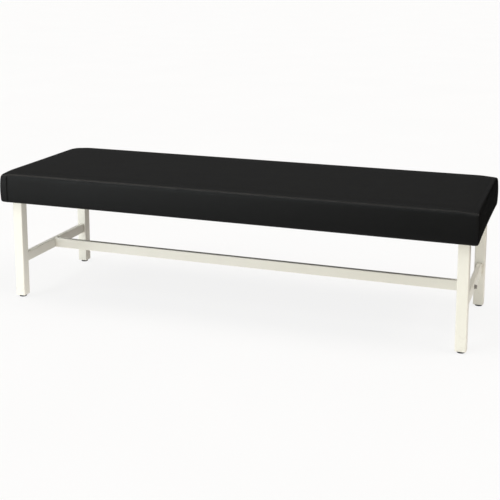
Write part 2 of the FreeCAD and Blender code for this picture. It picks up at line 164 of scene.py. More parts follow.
# Camera
CAMERA_PLACE = Vector((1.2306, -3.4156, 1.2823))
CAMERA_YAW = 0.3433
CAMERA_PITCH = 0.1679
CAMERA_LENS_MM = 70.7
CAMERA_SENSOR_MM = 36
CAMERA_SHIFT = -0.24
CAMERA_FAR = 500

# Floor: its colour, its glow to the eye, in reflections and in bounced light, and where each glow changes
FLOOR_SPAN = 400
FLOOR_CLOUD = 0.8
FLOOR_COLOUR = 0.10
FLOOR_CLOUD_COLOUR = 0.12
FLOOR_SEEN = 0.85
FLOOR_NEAR = 0.7
FLOOR_CARD = 0.29
FLOOR_LEFT = (1.30, 1.22, 1.15, 1)
FLOOR_RIGHT = (1.08, 1.00, 0.89, 1)
FLOOR_SHADE = (0.28, 0.24, 0.20, 1)
MIRROR_REACH = (0.35, 0.8)
CARD_SPAN = (-2.2, 0.7)
OPEN_SPAN = (-1.0, 1.0)
SHADE_BESIDE = (0.70, 1.08)
SHADE_BEFORE = (-0.25, 0.35)

# Lamps and room
LAMP_TINT = (0.94, 1.0, 1.0)
END_LAMP_TINT = (1.0, 0.935, 0.87)
BOX_FOOT = 20 * MM
ROOM_TINT = (1.0, 0.90, 0.80, 1)
ROOM_STRENGTH = 0.32
ROOM_IN_REFLECTIONS = {"From Min": -0.05, "From Max": 0.35, "To Min": 0.085, "To Max": 0.03}
BACKDROP_STRENGTH = 1.0

CORNERS = {
    "front_left": (-1, -1),
    "rear_left": (-1, 1),
    "front_right": (1, -1),
    "rear_right": (1, 1),
}
ENDS = ("left", "right")


# Modelling steps that the pieces share


def alone(piece):
    """Makes one piece the only picked one."""
    bpy.ops.object.select_all(action="DESELECT")
    piece.select_set(True)
    bpy.context.view_layer.objects.active = piece
    return piece


def fresh(name):
    """Names the primitive that was just added, and its mesh."""
    piece = bpy.context.view_layer.objects.active
    piece.name = name
    piece.data.name = name
    return alone(piece)


@contextmanager
def shaping(piece):
    """Edit mode on one piece, with everything picked at first."""
    alone(piece)
    bpy.ops.object.mode_set(mode="EDIT")
    bpy.ops.mesh.select_mode(type="VERT")
    bpy.ops.mesh.select_all(action="SELECT")
    yield piece
    bpy.ops.object.mode_set(mode="OBJECT")


def pick(piece, kind, test):
    """In edit mode, picks the vertices, edges or faces that pass a test."""
    bpy.ops.mesh.select_mode(type=kind)
    bpy.ops.mesh.select_all(action="DESELECT")
    mesh = bmesh.from_edit_mesh(piece.data)
    mesh.normal_update()
    parts = {"VERT": mesh.verts, "EDGE": mesh.edges, "FACE": mesh.faces}[kind]
    for part in parts:
        if test(part):
            part.select_set(True)
    mesh.select_flush_mode()
    bmesh.update_edit_mesh(piece.data)


def middle(edge):
    """Middle point of an edge."""
    return (edge.verts[0].co + edge.verts[1].co) / 2


def extrude(move):
    """Extrudes what is picked, and leaves the new part picked."""
    bpy.ops.mesh.extrude_region_move(TRANSFORM_OT_translate={"value": move})


def grow(share, centre):
    """Scales what is picked about a point."""
    bpy.ops.transform.resize(value=share, center_override=centre)


def tidy_mesh(piece, merge=MERGE_WITHIN):
    """Merges doubles and turns every face outwards."""
    with shaping(piece):
        bpy.ops.mesh.remove_doubles(threshold=merge)
        bpy.ops.mesh.normals_make_consistent(inside=False)


def settle(piece):
    """Puts a piece's place, turn and scale into its mesh."""
    alone(piece)
    bpy.ops.object.transform_apply(location=True, rotation=True, scale=True)
    return piece


def modify(piece, kind, **settings):
    """Adds a modifier and applies it at once."""
    alone(piece)
    modifier = piece.modifiers.new(kind.lower(), kind)
    for name, value in settings.items():
        setattr(modifier, name, value)
    bpy.ops.object.modifier_apply(modifier=modifier.name)


def simulate(piece, is_held, gravity, settings):
    """Lets a cloth move for a few frames, held at the points that pass a test, and keeps its last shape."""
    held = piece.vertex_groups.new(name="held")
    held.add([v.index for v in piece.data.vertices if is_held(v.co)], 1.0, "REPLACE")
    alone(piece)
    cloth = piece.modifiers.new("cloth", "CLOTH")
    for name, value in settings.items():
        setattr(cloth.settings, name, value)
    cloth.settings.effector_weights.gravity = gravity
    cloth.settings.vertex_group_mass = held.name
    cloth.collision_settings.use_collision = False
    cloth.point_cache.frame_end = CLOTH_FRAMES
    for step in range(1, CLOTH_FRAMES + 1):
        bpy.context.scene.frame_set(step)
    bpy.ops.object.modifier_apply(modifier=cloth.name)
    bpy.context.scene.frame_set(1)
    piece.vertex_groups.clear()


def copy_of(piece, place, turn=0):
    """A copy with its own mesh, turned about Z and moved."""
    twin = piece.copy()
    twin.data = piece.data.copy()
    bpy.context.scene.collection.objects.link(twin)
    twin.rotation_euler = (0, 0, turn)
    twin.location = place
    return twin


def joined(name, copies):
    """Joins copies into one piece whose place is in its mesh."""
    bpy.ops.object.select_all(action="DESELECT")
    for twin in copies:
        twin.select_set(True)
    bpy.context.view_layer.objects.active = copies[0]
    bpy.ops.object.transform_apply(location=True, rotation=True, scale=True)
    bpy.ops.object.join()
    return fresh(name)


def discard(piece):
    """Removes a piece that only served as a pattern."""
    bpy.data.objects.remove(piece)


def smooth(piece, angle=SMOOTH_DEGREES):
    """Smooth shading, with edges sharper than an angle in degrees kept."""
    alone(piece)
    bpy.ops.object.shade_smooth_by_angle(angle=math.radians(angle))
    return piece


def wear(piece, finish):
    """Gives a piece its finish."""
    piece.data.materials.clear()
    piece.data.materials.append(finish)


def fade(value, start, end):
    """0 at start and 1 at end, smooth in between."""
    share = min(1.0, max(0.0, (value - start) / (end - start)))
    return share * share * (3 - 2 * share)


# Finishes


class Signal:
    """A value that runs through a finish. Arithmetic on it adds Math nodes."""

    def __init__(self, finish, socket):
        self.finish = finish
        self.socket = socket

    def __add__(self, other):
        return self.finish.maths("ADD", self, other)

    def __radd__(self, other):
        return self.finish.maths("ADD", other, self)

    def __sub__(self, other):
        return self.finish.maths("SUBTRACT", self, other)

    def __rsub__(self, other):
        return self.finish.maths("SUBTRACT", other, self)

    def __mul__(self, other):
        return self.finish.maths("MULTIPLY", self, other)

    def __rmul__(self, other):
        return self.finish.maths("MULTIPLY", other, self)

    def __truediv__(self, other):
        return self.finish.maths("DIVIDE", self, other)

    def __abs__(self):
        return self.finish.maths("ABSOLUTE", self)


class Finish:
    """One material while it is made: its nodes and the shader that they feed."""

    def __init__(self, name, **constants):
        self.material = bpy.data.materials.new(name)
        self.material.use_nodes = True
        self.tree = self.material.node_tree
        self.shader = self.tree.nodes["Principled BSDF"]
        self.place = self.node("ShaderNodeTexCoord", out="Object")
        for socket, value in constants.items():
            self.shader.inputs[socket.replace("_", " ")].default_value = value

    def feed(self, socket, value):
        """Links a signal to a socket, or sets the socket's own value."""
        if isinstance(value, Signal):
            self.tree.links.new(value.socket, socket)
        else:
            socket.default_value = value

    def node(self, kind, settings=None, sockets=None, out=0):
        """Adds a node, sets it up, feeds its sockets and gives one of its outputs."""
        made = self.tree.nodes.new(kind)
        for name, value in (settings or {}).items():
            setattr(made, name, value)
        for name, value in (sockets or {}).items():
            self.feed(made.inputs[name], value)
        return Signal(self, made.outputs[out])

    def maths(self, operation, *values):
        """A Math node on one or two values."""
        return self.node("ShaderNodeMath", {"operation": operation}, dict(enumerate(values)))

    def axis(self, letter):
        """One coordinate of the surface, in metres."""
        return self.node("ShaderNodeSeparateXYZ", None, {0: self.place}, out=letter)

    def step(self, value, start, end):
        """0 at start and 1 at end, smooth in between."""
        return self.node(
            "ShaderNodeMapRange",
            {"interpolation_type": "SMOOTHSTEP"},
            {"Value": value, "From Min": start, "From Max": end},
        )

    def stretched(self, scale):
        """The surface's coordinates, scaled along each axis."""
        return self.node("ShaderNodeMapping", None, {"Vector": self.place, "Scale": scale})

    def noise(self, size, detail=2.0, rough=0.5, place=None):
        """Soft random pattern whose blots are about as large as size."""
        return self.node(
            "ShaderNodeTexNoise",
            None,
            {
                "Vector": place or self.place,
                "Scale": 1 / size,
                "Detail": detail,
                "Roughness": rough,
            },
        )

    def mix(self, share, first, second):
        """A colour between two, by share."""
        return self.node("ShaderNodeMix", {"data_type": "RGBA"}, {0: share, 6: first, 7: second}, out=2)

    def bump(self, height, depth, strength=1.0, under=None):
        """Bends the normal by a height pattern of that depth, over another bump."""
        sockets = {"Height": height, "Distance": depth, "Strength": strength}
        if under:
            sockets["Normal"] = under
        return self.node("ShaderNodeBump", None, sockets)

    def done(self, **fed):
        """Feeds the shader and gives the material."""
        for socket, value in fed.items():
            self.feed(self.shader.inputs[socket.replace("_", " ")], value)
        return self.material


def grey(level, alpha=1.0):
    """A neutral colour."""
    return (level, level, level, alpha)


def black_vinyl(far):
    """Black upholstery vinyl: pebbled grain, soft dents, top rims rubbed smooth. far is its top corner."""
    finish = Finish("black_vinyl", Specular_IOR_Level=0.24)
    drift = finish.node(
        "ShaderNodeTexNoise", None, {"Vector": finish.place, "Scale": 1 / (4 * MM)}, out="Color"
    )
    sway = finish.node("ShaderNodeVectorMath", {"operation": "SCALE"}, {0: drift, "Scale": 0.9 * MM})
    warp = finish.node("ShaderNodeVectorMath", {"operation": "ADD"}, {0: finish.place, 1: sway})
    cells = finish.node(
        "ShaderNodeTexVoronoi",
        {"feature": "DISTANCE_TO_EDGE"},
        {"Vector": warp, "Scale": 1 / (1.5 * MM), "Randomness": 0.9},
    )
    pebbles = finish.step(cells, 0.0, 0.22)
    dents = finish.noise(70 * MM, detail=2.0)
    pores = finish.noise(0.5 * MM, detail=1.0)
    blotches = finish.noise(160 * MM, detail=3.0)
    upper = finish.step(finish.axis("Z"), far.z - RUB_STARTS_BELOW, far.z - RUB_FULL_BELOW)
    long_rims = finish.step(abs(finish.axis("Y")), far.y - RUB_STARTS_INSIDE, far.y - RUB_FULL_INSIDE)
    end_rims = finish.step(abs(finish.axis("X")), far.x - RUB_STARTS_INSIDE, far.x - RUB_FULL_INSIDE)
    rubbed = upper * finish.maths("MAXIMUM", long_rims, end_rims)
    tone = finish.mix(blotches, grey(0.0036), grey(0.0060))
    colour = finish.mix(pebbles * 0.8 + 0.2, grey(0.0030), tone)
    roughness = 0.44 + (blotches - 0.5) * 0.14 - rubbed * 0.17 + (1 - pebbles) * 0.10
    soft = finish.bump(dents, 1.2 * MM, 0.35)
    grain = finish.bump(pebbles, 0.15 * MM, 0.75, soft)
    normal = finish.bump(pores, 0.02 * MM, 0.4, grain)
    return finish.done(Base_Color=colour, Roughness=roughness, Normal=normal)


def cover_thread():
    """Black twisted sewing thread."""
    finish = Finish("cover_thread", Specular_IOR_Level=0.3)
    twist = finish.noise(0.5 * MM, detail=1.0)
    colour = finish.mix(twist, grey(0.008), grey(0.022))
    normal = finish.bump(twist, 0.1 * MM, 0.6)
    return finish.done(Base_Color=colour, Roughness=0.55 + twist * 0.2, Normal=normal)


def spunbond():
    """Black bonded dust cloth, with its fine pressed diamond pattern."""
    finish = Finish("spunbond_cloth", Specular_IOR_Level=0.15)
    across = finish.axis("X") * (FULL_TURN / (3.2 * MM))
    along = finish.axis("Y") * (FULL_TURN / (3.2 * MM))
    waves = finish.maths("SINE", across + along) * finish.maths("SINE", across - along)
    points = finish.step(waves, 0.35, 0.75)
    fibres = finish.noise(1.2 * MM, detail=4.0, rough=0.7, place=finish.stretched((1.0, 0.25, 1.0)))
    colour = finish.mix(fibres, grey(0.010), grey(0.032))
    colour = finish.mix(points, colour, grey(0.007))
    normal = finish.bump(fibres * 0.5 - points * 0.8, 0.25 * MM, 0.6)
    return finish.done(Base_Color=colour, Roughness=0.88 - points * 0.3, Normal=normal)


def ivory_paint(name, section):
    """Ivory powder coat on one sort of bar. section gives each cross axis, its middle and half size."""
    finish = Finish(name, Specular_IOR_Level=0.45, Coat_Roughness=0.25)
    shares = []
    for letter, centre, half in section:
        shares.append(abs(abs(finish.axis(letter)) - centre) / half)
    edge = finish.step(finish.maths("MINIMUM", *shares), 0.86, 0.97)
    peel = finish.noise(1.6 * MM, detail=2.0)
    cloud = finish.noise(90 * MM, detail=3.0)
    specks = finish.step(finish.noise(5 * MM, detail=4.0, rough=0.65), 0.70, 0.76)
    low = 1 - finish.step(finish.axis("Z"), 0.0, KICKED_HEIGHT)
    rub = finish.step(finish.noise(22 * MM, detail=5.0, rough=0.6), 0.52, 0.66)
    soiled = low * rub
    ivory = finish.mix(cloud, (0.800, 0.805, 0.740, 1), (0.845, 0.850, 0.792, 1))
    # Lighter colour along the bar's rounded edges, more so where the rub pattern falls.
    edge_lightened = finish.mix(edge * (0.35 + rub * 0.4), ivory, (0.880, 0.865, 0.800, 1))
    dusty = finish.mix(soiled * 0.35, edge_lightened, (0.560, 0.530, 0.470, 1))
    worn = finish.mix(specks * (edge * 0.5 + low * 0.25), dusty, (0.400, 0.390, 0.370, 1))
    roughness = 0.34 + cloud * 0.10 + soiled * 0.22 - edge * 0.05
    normal = finish.bump(peel, 0.06 * MM, 0.35)
    coat = 0.15 - soiled * 0.1
    return finish.done(Base_Color=worn, Roughness=roughness, Normal=normal, Coat_Weight=coat)


def weld_paint():
    """Ivory paint over the weld ripples, with small brown stains."""
    finish = Finish("ivory_paint_welds", Specular_IOR_Level=0.4)
    stain = finish.step(finish.noise(6 * MM, detail=4.0, rough=0.6), 0.50, 0.66)
    peel = finish.noise(1.2 * MM, detail=2.0)
    colour = finish.mix(stain * 0.75, (0.790, 0.785, 0.710, 1), (0.330, 0.255, 0.170, 1))
    normal = finish.bump(peel, 0.08 * MM, 0.4)
    return finish.done(Base_Color=colour, Roughness=0.42 + stain * 0.2, Normal=normal)


def plated_steel():
    """Zinc-plated fasteners, slightly clouded."""
    finish = Finish("plated_steel")
    cloud = finish.noise(5 * MM, detail=3.0)
    grit = finish.noise(0.6 * MM, detail=2.0)
    colour = finish.mix(cloud, (0.46, 0.46, 0.45, 1), (0.66, 0.64, 0.58, 1))
    return finish.done(
        Base_Color=colour,
        Metallic=0.92 + cloud * 0.08,
        Roughness=0.30 + grit * 0.16 + cloud * 0.1,
        Normal=finish.bump(grit, 0.05 * MM, 0.3),
    )


def dulled_steel():
    """Dull grey phosphated bolt and washers, rubbed brighter in spots."""
    finish = Finish("dulled_steel", Specular_IOR_Level=0.35)
    cloud = finish.noise(4 * MM, detail=4.0, rough=0.6)
    rubbed = finish.step(cloud, 0.56, 0.72)
    colour = finish.mix(cloud, (0.20, 0.195, 0.19, 1), (0.36, 0.35, 0.335, 1))
    colour = finish.mix(rubbed, colour, (0.56, 0.55, 0.53, 1))
    return finish.done(
        Base_Color=colour,
        Metallic=0.2 + rubbed * 0.4,
        Roughness=0.52 - rubbed * 0.16,
        Normal=finish.bump(cloud, 0.06 * MM, 0.3),
    )


def sawn_pine(name, grain):
    """Softwood; grain gives the stretch of the pattern along X, Y and Z."""
    finish = Finish(name, Specular_IOR_Level=0.25)
    place = finish.stretched(grain)
    rings = finish.node(
        "ShaderNodeTexWave",
        {"wave_type": "BANDS", "bands_direction": "DIAGONAL"},
        {"Vector": place, "Scale": 55.0, "Distortion": 6.0, "Detail": 3.0, "Detail Scale": 1.5},
    )
    fibres = finish.noise(1.2 * MM, detail=4.0, rough=0.65, place=place)
    colour = finish.mix(rings, (0.62, 0.42, 0.22, 1), (0.78, 0.60, 0.37, 1))
    colour = finish.mix(fibres * 0.45, colour, (0.48, 0.30, 0.15, 1))
    normal = finish.bump(fibres + rings * 0.5, 0.2 * MM, 0.4)
    return finish.done(Base_Color=colour, Roughness=0.62 + fibres * 0.2, Normal=normal)


def birch_ply():
    """Thin plywood with its layers showing on the edge."""
    finish = Finish("birch_ply", Specular_IOR_Level=0.25)
    layers = finish.step(finish.maths("SINE", finish.axis("Z") * (FULL_TURN / (2.2 * MM))), -0.3, 0.3)
    fibres = finish.noise(1.5 * MM, detail=4.0, rough=0.65, place=finish.stretched((0.06, 1.0, 1.0)))
    colour = finish.mix(fibres, (0.56, 0.40, 0.24, 1), (0.74, 0.58, 0.38, 1))
    colour = finish.mix(layers * 0.3, colour, (0.42, 0.28, 0.16, 1))
    normal = finish.bump(fibres, 0.15 * MM, 0.4)
    return finish.done(Base_Color=colour, Roughness=0.6 + fibres * 0.2, Normal=normal)


def moulded_plastic(name, dark, light):
    """Moulded plastic with a fine spark-eroded grain and scuffs."""
    finish = Finish(name, Specular_IOR_Level=0.4)
    grain = finish.noise(0.7 * MM, detail=2.0)
    scuff = finish.step(finish.noise(7 * MM, detail=5.0, rough=0.65), 0.5, 0.7)
    colour = finish.mix(scuff * 0.6 + grain * 0.3, dark, light)
    roughness = 0.48 + scuff * 0.2 + grain * 0.08
    normal = finish.bump(grain, 0.06 * MM, 0.5)
    return finish.done(Base_Color=colour, Roughness=roughness, Normal=normal)


# Cushion


def cushion_rings(length, width, height):
    """Length, width and height of each ring up the cushion's side, from its foot to its top face."""
    insets = []
    for step in range(FOOT_STEPS + 1):
        turn = QUARTER_TURN * step / FOOT_STEPS
        inset = FOOT_ROUND * (1 - math.sin(turn))
        insets.append((inset, inset, FOOT_ROUND * (1 - math.cos(turn))))
    straight = height - FOOT_ROUND - TOP_ROUND
    shares = [step / SIDE_STEPS for step in range(1, SIDE_STEPS)]
    for share in (EDGE_HOLD / straight, *shares, 1 - EDGE_HOLD / straight):
        bulge = SIDE_BULGE * math.sin(math.pi * share)
        insets.append((-bulge, -bulge, FOOT_ROUND + straight * share))
    for step in range(TOP_STEPS + 1):
        turn = QUARTER_TURN * step / TOP_STEPS
        drawn = 1 - math.cos(turn)
        insets.append((END_ROUND * drawn, TOP_ROUND * drawn, height - TOP_ROUND * (1 - math.sin(turn))))
    return [(length - 2 * ends, width - 2 * sides, rise) for ends, sides, rise in insets]


def shape_outline(piece, long_half, wide_half):
    """Draws the sides of the sheet in between its corners, and keeps the corners themselves tight."""
    mesh = bmesh.from_edit_mesh(piece.data)
    next_x = sorted({round(abs(vertex.co.x), 5) for vertex in mesh.verts})[-2]
    next_y = sorted({round(abs(vertex.co.y), 5) for vertex in mesh.verts})[-2]
    for vertex in mesh.verts:
        if abs(abs(vertex.co.x) - next_x) < SAME_PLACE:
            vertex.co.x = math.copysign(long_half - CORNER_HOLD, vertex.co.x)
        if abs(abs(vertex.co.y) - next_y) < SAME_PLACE:
            vertex.co.y = math.copysign(wide_half - CORNER_HOLD, vertex.co.y)
        along = vertex.co.x / long_half
        across = vertex.co.y / wide_half
        vertex.co.x -= along * END_DRAW * (1 - across * across)
        vertex.co.y -= across * SIDE_DRAW * (1 - along * along)
        if min(abs(along), abs(across)) > CORNER_SHARE:
            vertex.co.x -= math.copysign(CORNER_TUCK, along)
            vertex.co.y -= math.copysign(CORNER_TUCK, across)
    bmesh.update_edit_mesh(piece.data)


def cushion_form(low, high):
    """The cushion before it swells: a cage with a rounded top edge and drawn-in sides."""
    length = high.x - low.x - 2 * SIDE_ROOM
    width = high.y - low.y - 2 * SIDE_ROOM
    rings = cushion_rings(length, width, high.z - low.z - CROWN_ROOM)
    long, wide, height = rings[0]
    bpy.ops.mesh.primitive_grid_add(
        x_subdivisions=round(length / CAGE_CELL), y_subdivisions=round(width / CAGE_CELL), size=1
    )
    piece = fresh("cushion")
    with shaping(piece):
        grow((long, wide, 1), (0, 0, 0))
        bpy.ops.transform.translate(value=(0, 0, low.z))
        shape_outline(piece, long / 2, wide / 2)
        bpy.ops.mesh.select_mode(type="FACE")
        bpy.ops.mesh.select_all(action="SELECT")
        for next_long, next_wide, next_height in rings[1:]:
            extrude((0, 0, next_height - height))
            grow((next_long / long, next_wide / wide, 1), (0, 0, low.z + next_height))
            long, wide, height = next_long, next_wide, next_height
    tidy_mesh(piece)
    return piece


def swell(piece, floor):
    """Fills the cushion: its cover is blown up under light pressure while its foot is held."""
    before = [(vertex.co.copy(), vertex.normal.copy()) for vertex in piece.data.vertices]
    simulate(piece, lambda point: point.z < floor + HELD_BAND, COVER_GRAVITY, COVER_CLOTH)
    for vertex, (start, outwards) in zip(piece.data.vertices, before):
        rise = max(0.0, (vertex.co - start).dot(outwards))
        vertex.co = start + outwards * (SWELL_LIMIT * math.tanh(rise / SWELL_KNEE))


def droop_corners(piece, low, high):
    """Lets the cushion's top fall towards its four corners, where the cover is sewn tight."""
    for vertex in piece.data.vertices:
        from_corner = math.hypot(high.x - abs(vertex.co.x), high.y - abs(vertex.co.y))
        near = 1 - fade(from_corner, 0, DROOP_REACH)
        share = (vertex.co.z - low.z) / (high.z - low.z)
        vertex.co.z -= CORNER_DROOP * near * share * share


def gather_corners(piece, low, high):
    """Small folds where the cover is drawn together under each corner."""
    ways = [Vector((vertex.normal.x, vertex.normal.y, 0)) for vertex in piece.data.vertices]
    for vertex, outwards in zip(piece.data.vertices, ways):
        from_end = high.x - abs(vertex.co.x)
        from_side = high.y - abs(vertex.co.y)
        around = from_end - from_side
        near = 1 - fade(abs(around), GATHER_FULL, GATHER_LONG)
        down = 1 - fade(vertex.co.z - low.z, 0, GATHER_HIGH)
        on_side = 1 - fade(min(from_end, from_side), GATHER_NEAR_FACE, GATHER_OFF_FACE)
        depth = GATHER_DEPTH * near * down * on_side * math.cos(FULL_TURN * around / GATHER_PITCH)
        vertex.co += outwards * depth


def corner_seams(low, high):
    """Each seam's line on the cover: a point at its foot, the way along the side and the way out."""
    seams = {}
    for corner, (end, side) in CORNERS.items():
        if end * side > 0:
            foot = Vector((end * (high.x - SEAM_FROM_CORNER), side * high.y, low.z))
            seams[corner] = (foot, Vector((-end, 0, 0)), Vector((0, side, 0)))
        else:
            foot = Vector((end * high.x, side * (high.y - SEAM_FROM_CORNER), low.z))
            seams[corner] = (foot, Vector((0, -side, 0)), Vector((end, 0, 0)))
    return seams


def sew_seam(piece, seam, high):
    """Cuts extra lines into the cover beside a seam, and sinks the seam's own line."""
    foot, along, out = seam
    reach = 2 * SEAM_FROM_CORNER

    def beside(face):
        offset = face.calc_center_median() - foot
        near = abs(offset.dot(along)) < CAGE_CELL and offset.dot(out) > -reach
        return near and face.normal.dot(out) > SEAM_FACING

    with shaping(piece):
        for shift in (-SEAM_SHOULDER, -SEAM_HALF_WIDTH, 0, SEAM_HALF_WIDTH, SEAM_SHOULDER):
            pick(piece, "FACE", beside)
            bpy.ops.mesh.bisect(plane_co=foot + along * shift, plane_no=along, threshold=SEAM_CUT_WITHIN)
        mesh = bmesh.from_edit_mesh(piece.data)
        mesh.normal_update()
        for vertex in mesh.verts:
            offset = vertex.co - foot
            on_line = abs(offset.dot(along)) <= SEAM_CUT_WITHIN and offset.dot(out) >= -reach
            if on_line and vertex.normal.dot(out) >= SEAM_FACING:
                below_top = high.z - CORNER_DROOP - vertex.co.z
                depth = SEAM_DEPTH * fade(below_top, SEAM_FADE_TO, SEAM_FADE_FROM)
                vertex.co -= out * depth
        bmesh.update_edit_mesh(piece.data)


def one_stitch():
    """A single stitch, upright: a short thread with drawn-in ends."""
    bpy.ops.mesh.primitive_cylinder_add(
        vertices=STITCH_SIDES, radius=STITCH_RADIUS, depth=STITCH_LENGTH
    )
    piece = fresh("stitch")
    with shaping(piece):
        pick(piece, "EDGE", lambda edge: abs(middle(edge).z) > STITCH_LENGTH / 4)
        bpy.ops.mesh.bevel(offset=STITCH_END, segments=1, affect="EDGES")
    return piece


def sew_stitches(cushion, seams, low, high):
    """A row of stitches beside each corner seam, on the cover's surface."""
    stitch = one_stitch()
    copies = []
    for foot, along, out in seams.values():
        height = low.z + STITCH_FOOT_MARGIN
        while height < high.z - CORNER_DROOP - SEAM_FADE_FROM:
            start = foot - along * STITCH_FROM_SEAM + out * SEAM_FROM_CORNER
            start.z = height
            hit, place, _, _ = cushion.ray_cast(start, -out)
            if hit:
                copies.append(copy_of(stitch, place))
            height += STITCH_PITCH
    discard(stitch)
    return smooth(joined("cover_stitches", copies))


def make_cushion():
    """The vinyl cushion with its corner seams and stitches."""
    low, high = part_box("vinyl_cover")
    cushion = cushion_form(low, high)
    swell(cushion, low.z)
    droop_corners(cushion, low, high)
    seams = corner_seams(low, high)
    for seam in seams.values():
        sew_seam(cushion, seam, high)
    modify(cushion, "SUBSURF", levels=CUSHION_LEVELS, render_levels=CUSHION_LEVELS)
    gather_corners(cushion, low, high)
    alone(cushion)
    bpy.ops.object.shade_smooth()
    stitches = sew_stitches(cushion, seams, low, high)
    wear(cushion, black_vinyl(high))
    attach(cushion, "table")
    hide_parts("vinyl_cover", "foam_pad")
    wear(stitches, cover_thread())
    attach(stitches, "table")
    return cushion


# Dust cloth


def staple_places(low, high):
    """Where the dust cloth is stapled: place and turn of each staple."""
    places = []
    for long_axis, cross_axis, turn in ((0, 1, 0), (1, 0, QUARTER_TURN)):
        run = high[long_axis] - low[long_axis] - 2 * STAPLE_EDGE
        count = round(run / STAPLE_PITCH)
        for step in range(count + 1):
            for edge in (low[cross_axis] + STAPLE_EDGE, high[cross_axis] - STAPLE_EDGE):
                place = Vector((0, 0, low.z))
                place[long_axis] = low[long_axis] + STAPLE_EDGE + run * step / count
                place[cross_axis] = edge
                places.append((place, turn))
    return places


def one_staple():
    """A flat wire staple; only its crown shows under the cloth."""
    bpy.ops.mesh.primitive_cube_add(size=1)
    piece = fresh("staple")
    with shaping(piece):
        grow((STAPLE_LONG, STAPLE_WIDE, STAPLE_HIGH), (0, 0, 0))
        pick(piece, "EDGE", lambda edge: abs(middle(edge).x) > STAPLE_LONG / 4 and middle(edge).z < 0)
        bpy.ops.mesh.bevel(offset=STAPLE_BEND, segments=2, affect="EDGES")
    return piece


def make_staples(places):
    """The staples that hold the dust cloth, at the given places and turns."""
    staple = one_staple()
    sunk = Vector((0, 0, STAPLE_HIGH / 2))
    copies = [copy_of(staple, place - sunk, turn) for place, turn in places]
    discard(staple)
    staples = joined("cloth_staples", copies)
    wear(smooth(staples), plated_steel())
    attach(staples, "table")


def make_dust_cloth(cushion):
    """The cloth that closes the cushion's underside, stapled round its edge."""
    low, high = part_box("dust_cloth")
    size = high - low
    places = staple_places(low, high)
    bars = [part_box(f"top_bar_{end}") for end in ENDS]
    bpy.ops.mesh.primitive_grid_add(
        x_subdivisions=round(size.x / CLOTH_CELL), y_subdivisions=round(size.y / CLOTH_CELL), size=1
    )
    cloth = fresh("dust_cloth_sheet")
    with shaping(cloth):
        grow((size.x, size.y, 1), (0, 0, 0))
        bpy.ops.transform.translate(value=(0, 0, high.z - CLOTH_THICK / 2))

    def over_bar(point):
        """Between a flat bar and the cushion."""
        return any(bar_low.x < point.x < bar_high.x for bar_low, bar_high in bars)

    def is_held(point):
        stapled = any((point - place).xy.length < STAPLE_HOLD for place, _ in places)
        return stapled or over_bar(point)

    before = [vertex.co.z for vertex in cloth.data.vertices]
    simulate(cloth, is_held, DUST_GRAVITY, DUST_CLOTH)
    for vertex, start in zip(cloth.data.vertices, before):
        drop = max(0.0, start - vertex.co.z)
        vertex.co.z = start - CLOTH_SAG_LIMIT * math.tanh(drop / CLOTH_SAG_LIMIT)
    modify(cloth, "SOLIDIFY", thickness=CLOTH_THICK, offset=0)
    smooth(cloth)
    wear(cloth, spunbond())
    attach(cloth, "table")
    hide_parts("dust_cloth")
    make_staples([(place, turn) for place, turn in places if not over_bar(place)])


# Welds of the steel frame


def ripple_run(length):
    """A straight weld bead along X: ripples set one after another."""
    count = max(2, round(length / WELD_PITCH))
    pitch = length / count
    bpy.ops.mesh.primitive_cylinder_add(
        vertices=WELD_SIDES, radius=WELD_RADIUS, depth=pitch, end_fill_type="NOTHING"
    )
    bead = fresh("weld_bead")
    with shaping(bead):
        pick(bead, "EDGE", lambda edge: abs(edge.verts[0].co.z - edge.verts[1].co.z) > pitch / 2)
        bpy.ops.mesh.subdivide(number_cuts=1)
        pick(bead, "VERT", lambda vertex: abs(vertex.co.z) > pitch / 4)
        grow((WELD_WAIST, WELD_WAIST, 1), (0, 0, 0))
    bead.rotation_euler = (0, QUARTER_TURN, 0)
    bead.location = (pitch / 2, 0, 0)
    settle(bead)
    modify(
        bead,
        "ARRAY",
        count=count,
        use_relative_offset=False,
        use_constant_offset=True,
        constant_offset_displace=(pitch, 0, 0),
        use_merge_vertices=True,
        merge_threshold=WELD_MERGE,
    )
    return bead


def section_outline(across, up, corner):
    """A closed line round a tube's section in the XZ plane, as a curve, and its length."""
    bpy.ops.mesh.primitive_plane_add(size=1, rotation=(QUARTER_TURN, 0, 0))
    line = settle(fresh("weld_line"))
    with shaping(line):
        grow((across, 1, up), (0, 0, 0))
        bpy.ops.mesh.bevel(offset=corner, segments=WELD_CORNER_STEPS, affect="VERTICES")
        bpy.ops.mesh.select_all(action="SELECT")
        bpy.ops.mesh.delete(type="ONLY_FACE")
    length = sum(
        (line.data.vertices[edge.vertices[0]].co - line.data.vertices[edge.vertices[1]].co).length
        for edge in line.data.edges
    )
    alone(line)
    bpy.ops.object.convert(target="CURVE")
    return bpy.context.view_layer.objects.active, length


